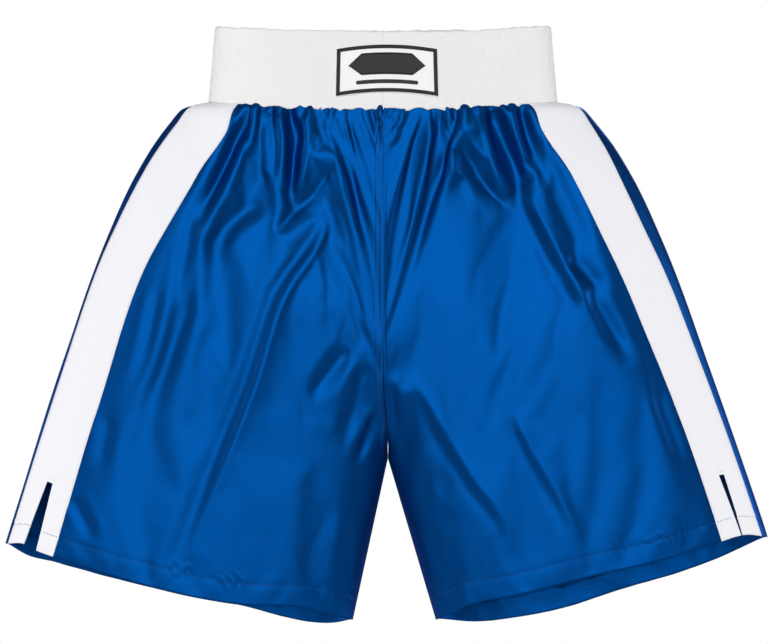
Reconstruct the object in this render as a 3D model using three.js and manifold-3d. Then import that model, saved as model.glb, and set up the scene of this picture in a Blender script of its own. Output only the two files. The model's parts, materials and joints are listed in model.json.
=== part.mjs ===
// Boxing shorts: a satin trunk with a shirred elastic waistband, side stripes with hem vents, and two legs
// that swing at the crotch. Millimetres, +Z up, the front faces -Y, the wearer's left is +X.
// The origin is the middle of the waist opening, at the waistband's top edge, where the wearer's waist holds it.
import * as THREE from "three";
import { mergeVertices } from "three/addons/utils/BufferGeometryUtils.js";
import Module from "manifold-3d";

const wasm = await Module();
wasm.setup();

// ---- Driving dimensions ----
const CLOTH = 1.4; // thickness of a fabric layer with its turned edges
const GAP = 0.5; // half the clearance left along a sewn edge
const BAND = {
  topHalfWidth: 156,
  seamHalfWidth: 162,
  topHalfDepth: 40,
  seamHalfDepth: 43,
  height: 70,
  layer: 1.5, // casing and lining
  elastic: 1.6, // thickness of an elastic cord row
  elasticHeight: 8,
  rows: 5,
  clearance: 0.4,
  segments: 40, // the same for every ring, so that they nest
};
const FRONT_DIP = 7.5; // how much lower the waist lies at the centre front than at the sides and back
const SEAM_Z = -71; // where the body is sewn to the band, at the sides and back
const HEM_Z = -551; // inner corner of the hems
// The side edge from the waist seam to the hem, as [distance from centre, height].
const SIDE_EDGE = [
  [163, -71],
  [184, -75],
  [198, -90],
  [213, -109],
  [231, -138.5],
  [258.5, -198],
  [301.5, -317],
  [354, -480],
];
const CROTCH = { x: 4.5, share: 0.688 }; // share of the way from seam to hem
const SWING_SHARE = 0.751; // the row that each leg turns about
const PART_GAP = 0.001; // half the share left open between a cloth's pieces
const BODY_HALF_DEPTH = { waist: 44, hip: 50, hem: 46 };
const HEM = { depth: 19, thread: 0.8, threadHeight: 0.5 };
const INSEAM = { near: 5, far: 13, thick: 1.6 }; // the allowance inside a leg
const VENT = { height: 68, bartack: [9, 1.1, 2.2] };
const LABEL = { width: 92, height: 44, x: 3.6, z: -44, thick: 0.9, border: 3.5, clear: 0.4 };
const LOZENGE = { width: 70, height: 20, point: 12, rise: 4.5 };
const LINE = { width: 56, height: 3.5, rise: -12 };
const CARE = { width: 30, length: 42, thick: 0.6, top: -60, y: 35.8 };
// The two halves differ a little, as they lie. A stripe is [share down the body, inner edge, outer edge],
// each edge as a share of the half width. frontHem and backHem are [share of the half width, drop]: how much
// lower each hem hangs than the straight line between the leg's two lower corners.
const SIDES = {
  left: {
    sign: 1,
    hemInnerX: 49,
    flare: 0.01,
    hemRise: 6, // how much higher its outer lower corner lies
    frontHem: [[0, 0], [0.1, -8.1], [0.24, -7], [0.46, -7.6], [0.68, -6], [0.83, -8.9], [0.93, -8.7], [1, 0]],
    backHem: [[0, 0], [0.11, 13.4], [0.25, 21], [0.4, 23.5], [0.56, 19.5], [0.76, 16], [0.87, 11], [1, 0]],
    ventTop: 5,
    ventFoot: 2.4,
    stripe: [
      [0, 0.816, 0.99],
      [0.06, 0.752, 0.972],
      [0.2, 0.763, 0.942],
      [0.5, 0.827, 0.965],
      [0.65, 0.851, 0.975],
      [1, 0.851, 0.975],
    ],
  },
  right: {
    sign: -1,
    hemInnerX: 28,
    flare: -0.008,
    hemRise: 0,
    frontHem: [[0, 0], [0.05, -3], [0.126, -7], [0.19, -3.7], [0.31, 5], [0.44, 7.6], [0.68, 5.2], [0.85, 0],
      [0.9, -1.9], [0.94, -5], [1, 0]],
    backHem: [[0, 0], [0.05, 10], [0.13, 16.6], [0.2, 17.5], [0.32, 14], [0.45, 15.5], [0.7, 14.6],
      [0.87, 10.4], [0.95, 8], [1, 0]],
    ventTop: 5,
    ventFoot: 12,
    stripe: [
      [0, 0.816, 0.99],
      [0.06, 0.74, 0.967],
      [0.2, 0.754, 0.967],
      [0.4, 0.824, 0.984],
      [0.65, 0.847, 0.986],
      [1, 0.853, 0.988],
    ],
  },
};

const SATIN_BLUE = { color: 0x054a95, roughness: 0.38, metalness: 0 };
const SATIN_WHITE = { color: 0xe9e8ec, roughness: 0.42, metalness: 0 };
const BAND_WHITE = { color: 0xe9e9e8, roughness: 0.9, metalness: 0 };
const ELASTIC = { color: 0xd9d6cf, roughness: 0.85, metalness: 0 };
const THREAD_BLUE = { color: 0x063c7c, roughness: 0.6, metalness: 0 };
const THREAD_WHITE = { color: 0xdedde2, roughness: 0.6, metalness: 0 };
const INK_BLACK = { color: 0x101012, roughness: 0.75, metalness: 0 };

// ---- Small helpers ----
const lerp = (a, b, t) => a + (b - a) * t;
const clamp01 = (t) => Math.min(1, Math.max(0, t));
const smooth = (t) => clamp01(t) ** 2 * (3 - 2 * clamp01(t));

/** The value in a column of rows of stations at a place, in straight runs between them. */
function station(stations, column, place) {
  const next = Math.max(1, stations.findIndex((row) => row[0] >= place - 1e-9));
  const [before, after] = [stations[next - 1], stations[next]];
  return lerp(before[column], after[column], (place - before[0]) / (after[0] - before[0]));
}

const sideCurve = new THREE.CatmullRomCurve3(
  SIDE_EDGE.map(([x, z]) => new THREE.Vector3(x, 0, z)),
  false,
  "centripetal",
);

// ---- The body's surface ----
// share runs down from the waist seam (0) to the hem (1); angle runs round one half of the garment,
// from the centre front or inseam (0), past the side edge (90 degrees), to the centre back (180 degrees).

/** The inner end of a row: the centre seam above the crotch, the inseam below it. */
function innerPoint(side, share) {
  const z = lerp(SEAM_Z, HEM_Z, share);
  if (share <= CROTCH.share) {
    const drift = smooth((share / CROTCH.share - 0.75) * 4);
    return { x: CROTCH.x * drift + side.sign * GAP, z };
  }
  const down = (share - CROTCH.share) / (1 - CROTCH.share);
  return { x: lerp(CROTCH.x + side.sign * GAP, side.sign * side.hemInnerX, down), z };
}

/** The outer end of a row, on the side edge. */
function outerPoint(side, share) {
  const { x, z } = sideCurve.getPointAt(clamp01(share));
  return { x: side.sign * x * (1 + side.flare * share), z: z + side.hemRise * smooth((share - 0.6) / 0.4) };
}

/** Half the distance between front and back at a row, before the edges round off. */
function halfDepth(share) {
  const { waist, hip, hem } = BODY_HALF_DEPTH;
  return share < 0.3 ? lerp(waist, hip, smooth(share / 0.3)) : lerp(hip, hem, (share - 0.3) / 0.7);
}

/** How much lower than the sides the waist lies at an angle: all of the dip in front, none behind. */
const dipAt = (angle) => FRONT_DIP * Math.max(0, Math.cos(angle)) ** 1.5;

/** A point of one half of the body. */
function bodyPoint(side, angle, share) {
  const across = Math.sin(angle);
  const facing = Math.cos(angle);
  const a = innerPoint(side, share);
  const b = outerPoint(side, share);
  const closing = smooth((share - 0.4) / (CROTCH.share - 0.4)) ** 2;
  const rounding = Math.sqrt(Math.max(0, 1 - closing * (1 - across) ** 6));
  const depth = halfDepth(share) * Math.abs(facing) * Math.sqrt(1 + across ** 2) * rounding;
  const back = facing < 0;
  const drop = station(back ? side.backHem : side.frontHem, 1, across);
  const below = smooth((share - CROTCH.share) / (1 - CROTCH.share));
  const apart = GAP * (1 - across); // keeps the front and back panels clear at the inseam
  const dip = dipAt(angle) * (1 - smooth(share / 0.3));
  return new THREE.Vector3(
    lerp(a.x, b.x, across),
    (back ? 1 : -1) * (depth + apart),
    lerp(a.z, b.z, across) - drop * below - dip,
  );
}

/** The outward normal of the body, by differences. */
function bodyNormal(side, angle, share) {
  const step = 1e-3;
  const a0 = Math.max(step, Math.min(Math.PI - step, angle));
  const s0 = Math.max(step, Math.min(1 - step, share));
  const round = bodyPoint(side, a0 + step, s0).sub(bodyPoint(side, a0 - step, s0));
  const down = bodyPoint(side, a0, s0 + step).sub(bodyPoint(side, a0, s0 - step));
  return down.cross(round).multiplyScalar(side.sign).normalize();
}

/** A closed solid between two grids of points, wound outwards. */
function solidBetween(outer, inner) {
  const [rows, columns] = [outer.length, outer[0].length];
  const positions = [...outer.flat(), ...inner.flat()].flatMap((p) => p.toArray());
  const at = (layer, i, j) => layer * rows * columns + i * columns + j;
  const index = [];
  const quad = (a, b, c, d) => index.push(a, b, c, a, c, d);
  for (let i = 0; i < rows - 1; i++)
    for (let j = 0; j < columns - 1; j++) {
      quad(at(0, i, j), at(0, i + 1, j), at(0, i + 1, j + 1), at(0, i, j + 1));
      quad(at(1, i, j), at(1, i, j + 1), at(1, i + 1, j + 1), at(1, i + 1, j));
    }
  for (let i = 0; i < rows - 1; i++) {
    quad(at(0, i, 0), at(1, i, 0), at(1, i + 1, 0), at(0, i + 1, 0));
    quad(at(0, i, columns - 1), at(0, i + 1, columns - 1), at(1, i + 1, columns - 1), at(1, i, columns - 1));
  }
  for (let j = 0; j < columns - 1; j++) {
    quad(at(0, 0, j), at(0, 0, j + 1), at(1, 0, j + 1), at(1, 0, j));
    quad(at(0, rows - 1, j), at(1, rows - 1, j), at(1, rows - 1, j + 1), at(0, rows - 1, j + 1));
  }
  return facingOut(positions, index);
}

/** A geometry whose volume is positive, turned round if its faces point inwards. */
function facingOut(positions, index) {
  let volume = 0;
  const [a, b, c] = [new THREE.Vector3(), new THREE.Vector3(), new THREE.Vector3()];
  for (let i = 0; i < index.length; i += 3) {
    a.fromArray(positions, 3 * index[i]);
    b.fromArray(positions, 3 * index[i + 1]);
    c.fromArray(positions, 3 * index[i + 2]);
    volume += a.dot(b.cross(c));
  }
  if (volume < 0)
    for (let i = 0; i < index.length; i += 3)
      [index[i + 1], index[i + 2]] = [index[i + 2], index[i + 1]];
  const geometry = new THREE.BufferGeometry();
  geometry.setAttribute("position", new THREE.Float32BufferAttribute(positions, 3));
  geometry.setIndex(index);
  return geometry;
}

/** A grid of points on the body: from(share) and to(share) bound the angle, ease crowds columns at the start. */
function bodyGrid(side, from, to, shares, columns, ease, lift) {
  const span = Array.from({ length: columns + 1 }, (_, j) => (j / columns) ** ease);
  return shares.map((share) =>
    span.map((w) => {
      const angle = lerp(from(share), to(share), w);
      const normal = bodyNormal(side, angle, share);
      return bodyPoint(side, angle, share).addScaledVector(normal, lift);
    }),
  );
}

/** A panel of cloth on the body, as thick as its layer, its outer face raised by lift. */
function panel(side, { from, to, top, bottom, rows, columns, ease = 1, lift = 0, thick = CLOTH }) {
  const shares = Array.from({ length: rows + 1 }, (_, i) => lerp(top, bottom, i / rows));
  const outer = bodyGrid(side, from, to, shares, columns, ease, lift);
  const inner = bodyGrid(side, from, to, shares, columns, ease, lift - thick);
  return solidBetween(outer, inner);
}

/** The angle of a stripe edge at a row, moved along the row by some millimetres. */
function stripeAngle(side, edge, share, shift) {
  const width = Math.abs(outerPoint(side, share).x - innerPoint(side, share).x);
  return Math.asin(Math.min(0.9995, station(side.stripe, edge, share) + shift / width));
}

// ---- Rings of the waistband ----

/** A point of the band's oval at a height of its unbent shape, moved inwards by a depth. */
function bandPoint(angle, z, inwards) {
  const down = -z / BAND.height;
  const a = lerp(BAND.topHalfWidth, BAND.seamHalfWidth, down) - inwards;
  const b = lerp(BAND.topHalfDepth, BAND.seamHalfDepth, down) - inwards;
  const bow = Math.sqrt(1 + Math.sin(angle) ** 2);
  return new THREE.Vector3(a * Math.sin(angle), -b * Math.cos(angle) * bow, z - dipAt(angle));
}

/** A closed ring of the band between two heights and two depths. */
function bandRing(top, bottom, outside, thick) {
  const { segments } = BAND;
  const corners = [
    [top, outside],
    [bottom, outside],
    [bottom, outside + thick],
    [top, outside + thick],
  ];
  const positions = [];
  const index = [];
  for (let i = 0; i < segments; i++)
    for (const [z, inwards] of corners)
      positions.push(...bandPoint((2 * Math.PI * i) / segments, z, inwards).toArray());
  for (let i = 0; i < segments; i++)
    for (let k = 0; k < 4; k++) {
      const [a, b] = [4 * i + k, 4 * i + ((k + 1) % 4)];
      const [c, d] = [4 * ((i + 1) % segments) + ((k + 1) % 4), 4 * ((i + 1) % segments) + k];
      index.push(a, b, c, a, c, d);
    }
  return facingOut(positions, index);
}

// ---- Boolean work ----

/** A geometry as a manifold solid. */
function solidOf(geometry) {
  const bare = geometry.clone();
  bare.deleteAttribute("normal");
  bare.deleteAttribute("uv");
  const merged = mergeVertices(bare, 1e-3);
  return new wasm.Manifold(
    new wasm.Mesh({
      numProp: 3,
      vertProperties: merged.attributes.position.array,
      triVerts: new Uint32Array(merged.index.array),
    }),
  );
}

/** A manifold solid as a geometry. */
function geometryOf(solid) {
  const mesh = solid.getMesh();
  const geometry = new THREE.BufferGeometry();
  geometry.setAttribute("position", new THREE.BufferAttribute(mesh.vertProperties, 3));
  geometry.setIndex(new THREE.BufferAttribute(mesh.triVerts, 1));
  return geometry;
}

// ---- The part ----
const shorts = new THREE.Group();

/** Adds a named mesh to the shorts. */
function add(name, geometry, look) {
  const mesh = new THREE.Mesh(geometry, new THREE.MeshStandardMaterial(look));
  mesh.name = name;
  shorts.add(mesh);
  return mesh;
}

/** The casing, the lining and the elastic rows between them. */
function addWaistband() {
  const { layer, clearance, elastic, elasticHeight, rows, height } = BAND;
  add("waistband_casing", bandRing(0, -height, 0, layer), BAND_WHITE);
  const liningDepth = layer + elastic + 2 * clearance;
  add("waistband_lining", bandRing(-1, -height, liningDepth, layer), BAND_WHITE);
  const pitch = height / rows;
  for (let i = 0; i < rows; i++) {
    const top = -pitch * (i + 0.5) + elasticHeight / 2;
    const ring = bandRing(top, top - elasticHeight, layer + clearance, elastic);
    add(`elastic_row_${i + 1}`, ring, ELASTIC);
  }
}

/** A closed outline from its corners. */
const outlineOf = (corners) => new THREE.Shape(corners.map(([x, y]) => new THREE.Vector2(x, y)));

/** The corners of a rectangle centred on zero, a height above it. */
function rectangle(width, height, rise = 0) {
  const [a, b] = [width / 2, height / 2];
  return [
    [-a, rise - b],
    [a, rise - b],
    [a, rise + b],
    [-a, rise + b],
  ];
}

/** The woven label on the band's front: a backing, a raised border, a lozenge and a line. */
function addLabel() {
  const { width, height, x, z, thick, border, clear } = LABEL;
  const face = bandPoint(0, z - height / 2, 0).y - clear;
  const slab = (outline, out, depth) =>
    new THREE.ExtrudeGeometry(outline, { depth, bevelEnabled: false })
      .rotateX(Math.PI / 2)
      .translate(x, face - out, z);
  const raised = thick + clear;
  add("label_backing", slab(outlineOf(rectangle(width, height)), 0, thick), SATIN_WHITE);

  const frame = outlineOf(rectangle(width, height));
  frame.holes.push(outlineOf(rectangle(width - 2 * border, height - 2 * border)));
  add("label_border", slab(frame, raised, thick / 2), INK_BLACK);

  const [a, b, tip] = [LOZENGE.width / 2, LOZENGE.height / 2, LOZENGE.point];
  const lozenge = [
    [-a, 0],
    [tip - a, -b],
    [a - tip, -b],
    [a, 0],
    [a - tip, b],
    [tip - a, b],
  ].map(([x, y]) => [x, y + LOZENGE.rise]);
  add("label_lozenge", slab(outlineOf(lozenge), raised, thick / 2), INK_BLACK);
  const line = outlineOf(rectangle(LINE.width, LINE.height, LINE.rise));
  add("label_line", slab(line, raised, thick / 2), INK_BLACK);
}

/** The panels of one half, each in a hip piece, a crease piece and a leg piece. */
function addPanels(name, side) {
  const edge = (which, shift) => (share) => stripeAngle(side, which, share, shift);
  const cloths = {
    front_panel: { from: () => 0, to: edge(1, -GAP), columns: 9, ease: 1.7, look: SATIN_BLUE },
    side_stripe: { from: edge(1, GAP), to: edge(2, -GAP), columns: 4, look: SATIN_WHITE },
    back_panel: { from: () => Math.PI, to: edge(2, GAP), columns: 16, ease: 1.35, look: SATIN_BLUE },
  };
  const parts = {
    hip: { top: 0, bottom: CROTCH.share - PART_GAP, rows: 12 },
    crease: { top: CROTCH.share + PART_GAP, bottom: SWING_SHARE - PART_GAP, rows: 2 },
    leg: { top: SWING_SHARE + PART_GAP, bottom: 1, rows: 4 },
  };
  for (const [cloth, shape] of Object.entries(cloths))
    for (const [part, rows] of Object.entries(parts)) {
      const whole = panel(side, { ...shape, ...rows });
      const vented = cloth === "side_stripe" && part === "leg";
      add(`${cloth}_${name}_${part}`, vented ? withVent(side, whole) : whole, shape.look);
    }
}

/** The middle of the stripe at a row, on its outer face. */
function stripeMiddle(side, share) {
  const inner = stripeAngle(side, 1, share, 0);
  const outer = stripeAngle(side, 2, share, 0);
  return Math.asin((Math.sin(inner) + Math.sin(outer)) / 2);
}

/** The share of the body at a distance above the hem. */
const aboveHem = (distance) => 1 - distance / (SEAM_Z - HEM_Z);

/** Cuts the vent up from the hem, through the middle of the stripe. */
function withVent(side, geometry) {
  const top = aboveHem(VENT.height);
  const head = bodyPoint(side, stripeMiddle(side, top), top);
  const foot = bodyPoint(side, stripeMiddle(side, 1), 1);
  const low = foot.clone().addScaledVector(foot.clone().sub(head), 0.2);
  const outline = new THREE.Shape([
    new THREE.Vector2(head.x - side.ventTop / 2, head.z),
    new THREE.Vector2(head.x + side.ventTop / 2, head.z),
    new THREE.Vector2(low.x + side.ventFoot / 2, low.z),
    new THREE.Vector2(low.x - side.ventFoot / 2, low.z),
  ]);
  const reach = 2 * BODY_HALF_DEPTH.hip;
  const cutter = new THREE.ExtrudeGeometry(outline, { depth: reach, bevelEnabled: false });
  cutter.rotateX(Math.PI / 2).translate(0, -1, 0);
  return geometryOf(solidOf(geometry).subtract(solidOf(cutter)));
}

/** The rows of thread that hold the hems, the vents' bar tacks and the inner seams of one half. */
function addSewing(name, side) {
  const threadTop = aboveHem(HEM.depth);
  const threadBottom = aboveHem(HEM.depth - HEM.thread);
  const row = (from, to, columns) =>
    panel(side, {
      from: () => from,
      to: () => to,
      top: threadTop,
      bottom: threadBottom,
      rows: 1,
      columns,
      lift: HEM.threadHeight + 0.4,
      thick: HEM.threadHeight,
    });
  const inner = stripeAngle(side, 1, threadTop, 0);
  const outer = stripeAngle(side, 2, threadTop, 0);
  const middle = stripeMiddle(side, threadTop);
  const clear = 0.04;
  const vent = 0.035;
  add(`hem_thread_front_${name}`, row(0.1, inner - clear, 12), THREAD_BLUE);
  add(`hem_thread_back_${name}`, row(outer + clear, Math.PI - 0.1, 18), THREAD_BLUE);
  add(`stripe_thread_front_${name}`, row(inner + clear / 2, middle - vent, 2), THREAD_BLUE);
  add(`stripe_thread_back_${name}`, row(middle + vent, outer - clear / 2, 2), THREAD_BLUE);

  const top = aboveHem(VENT.height + 2.5);
  const tack = new THREE.BoxGeometry(...VENT.bartack);
  const at = bodyPoint(side, stripeMiddle(side, top), top);
  const out = bodyNormal(side, stripeMiddle(side, top), top);
  const bar = add(`vent_bartack_${name}`, tack, THREAD_WHITE);
  bar.quaternion.setFromUnitVectors(new THREE.Vector3(0, -1, 0), out);
  bar.position.copy(at.addScaledVector(out, VENT.bartack[1] / 2 + 1));

  const { near, far, thick } = INSEAM;
  const shares = [SWING_SHARE + 0.02, 0.985];
  const face = (y) =>
    shares.map((share) => {
      const { x, z } = innerPoint(side, share);
      return [near, far].map((inside) => new THREE.Vector3(x + side.sign * inside, y, z));
    });
  add(`inseam_${name}`, solidBetween(face(-thick / 2), face(thick / 2)), THREAD_BLUE);
}

/** The centre seams' allowances, inside the front and the back. */
function addCentreSeams() {
  const strip = (angle) => {
    const shares = Array.from({ length: 13 }, (_, i) => lerp(0.01, 0.62, i / 12));
    const face = (inwards) =>
      shares.map((share) =>
        [-1, -0.34, 0.34, 1].map((k) => {
          const point = bodyPoint(SIDES.left, angle, share);
          const facing = Math.sign(point.y);
          return new THREE.Vector3(point.x + 6 * k - GAP, point.y - facing * inwards, point.z);
        }),
      );
    return solidBetween(face(CLOTH + 1.2), face(CLOTH + 2.2));
  };
  add("centre_front_seam", strip(0), THREAD_BLUE);
  add("centre_back_seam", strip(Math.PI), THREAD_BLUE);
}

/** The care label, which hangs by its top edge from the lining, inside the back. */
function addCareLabel() {
  const tab = new THREE.BoxGeometry(CARE.width, CARE.thick, CARE.length);
  const label = add("care_label", tab, SATIN_WHITE);
  label.position.set(0, CARE.y, CARE.top - CARE.length / 2);
}

addWaistband();
addLabel();
for (const [name, side] of Object.entries(SIDES)) {
  addPanels(name, side);
  addSewing(name, side);
}
addCentreSeams();
addCareLabel();

export default shorts;
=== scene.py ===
"""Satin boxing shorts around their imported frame.

A gathered blue body with white side stripes and hem vents, a shirred elastic waistband with a plain label, and
hems and seams with their stitches. Metres, +Z up, front to -Y.
"""

import json
import logging
import math
from dataclasses import dataclass, field
from enum import Enum
from typing import Callable, Optional, Sequence

import bpy
import numpy as np
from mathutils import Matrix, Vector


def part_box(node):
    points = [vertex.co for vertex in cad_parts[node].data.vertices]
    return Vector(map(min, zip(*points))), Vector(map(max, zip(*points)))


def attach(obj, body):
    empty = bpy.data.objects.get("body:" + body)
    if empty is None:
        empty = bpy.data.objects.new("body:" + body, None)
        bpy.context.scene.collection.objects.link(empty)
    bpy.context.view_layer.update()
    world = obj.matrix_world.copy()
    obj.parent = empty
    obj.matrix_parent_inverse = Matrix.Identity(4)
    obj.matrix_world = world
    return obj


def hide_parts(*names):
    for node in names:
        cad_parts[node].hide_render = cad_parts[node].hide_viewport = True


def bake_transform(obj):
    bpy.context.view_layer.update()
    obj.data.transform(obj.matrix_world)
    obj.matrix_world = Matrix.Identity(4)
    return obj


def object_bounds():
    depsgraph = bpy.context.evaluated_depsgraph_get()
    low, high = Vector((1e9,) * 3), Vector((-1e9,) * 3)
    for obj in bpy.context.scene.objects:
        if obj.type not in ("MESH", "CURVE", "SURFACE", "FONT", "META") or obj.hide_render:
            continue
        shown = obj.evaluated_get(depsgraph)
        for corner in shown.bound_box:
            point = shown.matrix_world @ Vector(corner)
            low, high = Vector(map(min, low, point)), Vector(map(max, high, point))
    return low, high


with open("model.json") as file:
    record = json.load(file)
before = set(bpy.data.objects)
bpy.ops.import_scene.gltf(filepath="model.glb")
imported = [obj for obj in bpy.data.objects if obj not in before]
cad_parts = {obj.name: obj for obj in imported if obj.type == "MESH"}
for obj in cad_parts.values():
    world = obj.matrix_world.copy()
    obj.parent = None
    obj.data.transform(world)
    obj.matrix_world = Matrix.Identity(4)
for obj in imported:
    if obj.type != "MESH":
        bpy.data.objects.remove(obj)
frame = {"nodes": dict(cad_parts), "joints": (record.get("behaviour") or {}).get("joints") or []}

CAD_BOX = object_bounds()
MM = 0.001
LOG = logging.getLogger("boxing_shorts")
Array = np.ndarray


# ---------------------------------------------------------------------------------------------------------
# Curves and fields
# ---------------------------------------------------------------------------------------------------------
def smooth(t: Array) -> Array:
    """A ramp from 0 to 1 with level ends: t squared times (3 - 2t), after t is clamped."""
    t = np.clip(t, 0.0, 1.0)
    return t * t * (3.0 - 2.0 * t)


def lerp(a: Array, b: Array, t: Array) -> Array:
    """The value a share t of the way from a to b."""
    return a + (b - a) * t


def through(knots: Sequence[float], values: Sequence[float], at: Array) -> Array:
    """A smooth curve through stations: cubic Hermite pieces whose slopes are those of the neighbours' chord.

    Args:
        knots: where the stations are, rising.
        values: the value at each station.
        at: where to read the curve.

    Returns:
        The curve's value at each place.
    """
    x, y = np.asarray(knots, float), np.asarray(values, float)
    slope = np.gradient(y, x)
    at = np.clip(at, x[0], x[-1])
    i = np.clip(np.searchsorted(x, at) - 1, 0, len(x) - 2)
    span = x[i + 1] - x[i]
    t = (at - x[i]) / span
    rise = smooth(t)
    start = t * (1 - t) ** 2 * span * slope[i]
    end = -t * t * (1 - t) * span * slope[i + 1]
    return lerp(y[i], y[i + 1], rise) + start + end


def polyline(points: Sequence[tuple[float, float]], steps: int) -> Array:
    """A smooth open curve through a few points, by chord length, as (steps, 2)."""
    p = np.asarray(points, float)
    chord = np.r_[0.0, np.cumsum(np.hypot(*np.diff(p, axis=0).T))]
    at = np.linspace(0.0, chord[-1], steps)
    return np.stack([through(chord, p[:, k], at) for k in range(2)], axis=-1)


def value_noise(x: Array, y: Array, seed: int) -> Array:
    """Smooth noise from -1 to 1: random values on whole numbers, eased between by the smooth ramp."""
    rng = np.random.default_rng(seed)
    table = rng.uniform(-1.0, 1.0, (64, 64))
    xi, yi = np.floor(x).astype(int), np.floor(y).astype(int)
    tx, ty = smooth(x - xi), smooth(y - yi)
    top = lerp(table[xi % 64, yi % 64], table[(xi + 1) % 64, yi % 64], tx)
    low = lerp(table[xi % 64, (yi + 1) % 64], table[(xi + 1) % 64, (yi + 1) % 64], tx)
    return lerp(top, low, ty)


class FoldKind(Enum):
    """How a fold's section looks."""

    VALLEY = "a groove between two soft shoulders"
    CREASE = "a ridge that falls away steeply on one side"


@dataclass(frozen=True)
class Fold:
    """A fold of the cloth: a curve down the panel and its section. Millimetres, on the front's (x, z) plane."""

    points: tuple[tuple[float, float], ...]
    depth: float
    width: float
    kind: FoldKind = FoldKind.VALLEY
    steep_side: int = -1

    def height(self, x: Array, z: Array) -> Array:
        """How far the fold lifts the cloth at each place, in millimetres.

        A valley is -exp(-d squared) with shoulders of 0.35 exp(-(d - 1.9) squared), where d is the distance
        from the curve in widths. A crease is exp(-d squared) on its steep side, with a shallow groove at its
        foot, and exp(-d / 3.5) on the other. Both fade in and out along the curve.
        """
        line = polyline(self.points, 8 * len(self.points))
        a, b = line[:-1], line[1:]
        run = b - a
        length = np.hypot(run[:, 0], run[:, 1])
        px, pz = x.ravel()[:, None] - a[:, 0], z.ravel()[:, None] - a[:, 1]
        t = np.clip((px * run[:, 0] + pz * run[:, 1]) / length**2, 0.0, 1.0)
        dx, dz = px - t * run[:, 0], pz - t * run[:, 1]
        far = np.hypot(dx, dz)
        nearest = np.argmin(far, axis=1)
        row = np.arange(len(nearest))
        before = np.r_[0.0, np.cumsum(length)]
        along = (before[nearest] + t[row, nearest] * length[nearest]) / before[-1]
        side = np.sign(dx[row, nearest] * np.sign(-run[nearest, 1] + 1e-9))
        d = far[row, nearest] / self.width
        fade = smooth(along / 0.22 + 0.2) * smooth((1.0 - along) / 0.45)
        if self.kind is FoldKind.VALLEY:
            section = 0.35 * np.exp(-((d - 1.9) ** 2)) - np.exp(-(d**2))
        else:
            steep = side * self.steep_side > 0
            groove = 0.25 * steep * np.exp(-((d - 1.8) ** 2))
            section = np.where(steep, np.exp(-(d**2)), np.exp(-d / 3.5)) - groove
        return (self.depth * fade * section).reshape(x.shape)


# ---------------------------------------------------------------------------------------------------------
# The body's surface, as the frame has it
# ---------------------------------------------------------------------------------------------------------
@dataclass(frozen=True)
class Half:
    """One leg's half of the body as it lies.

    Its hems are rows of (share across, drop below the straight line between the lower corners), and its stripe
    is rows of (share down, inner edge, outer edge).
    """

    name: str
    sign: int
    hem_inner: float
    flare: float
    hem_rise: float
    front_hem: tuple[tuple[float, float], ...]
    back_hem: tuple[tuple[float, float], ...]
    vent_top: float
    vent_foot: float
    stripe: tuple[tuple[float, float, float], ...]


LEFT = Half(
    name="left", sign=1, hem_inner=49, flare=0.01, hem_rise=6, vent_top=5.0, vent_foot=1.6,
    front_hem=((0, 0), (0.1, -8.1), (0.24, -7), (0.46, -7.6), (0.68, -6), (0.83, -8.9), (0.93, -8.7), (1, 0)),
    back_hem=((0, 0), (0.11, 13.4), (0.25, 21), (0.4, 23.5), (0.56, 19.5), (0.76, 16), (0.87, 11), (1, 0)),
    stripe=((0, 0.816, 0.99), (0.06, 0.752, 0.972), (0.2, 0.763, 0.942), (0.5, 0.827, 0.965),
            (0.65, 0.851, 0.975), (1, 0.851, 0.975)),
)
RIGHT = Half(
    name="right", sign=-1, hem_inner=28, flare=-0.008, hem_rise=0, vent_top=5.0, vent_foot=12.0,
    front_hem=((0, 0), (0.05, -2), (0.126, -4), (0.19, -2), (0.31, 5), (0.44, 7.6), (0.68, 5.2), (0.85, 0),
               (0.9, -1.9), (0.94, -5), (1, 0)),
    back_hem=((0, 0), (0.05, 8.5), (0.13, 14.5), (0.2, 15.5), (0.32, 14), (0.45, 15.5), (0.7, 14.6),
              (0.87, 10.4), (0.95, 8), (1, 0)),
    stripe=((0, 0.816, 0.99), (0.06, 0.74, 0.967), (0.2, 0.754, 0.967), (0.4, 0.824, 0.984),
            (0.65, 0.847, 0.986), (1, 0.853, 0.988)),
)
HALVES = (LEFT, RIGHT)


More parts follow.
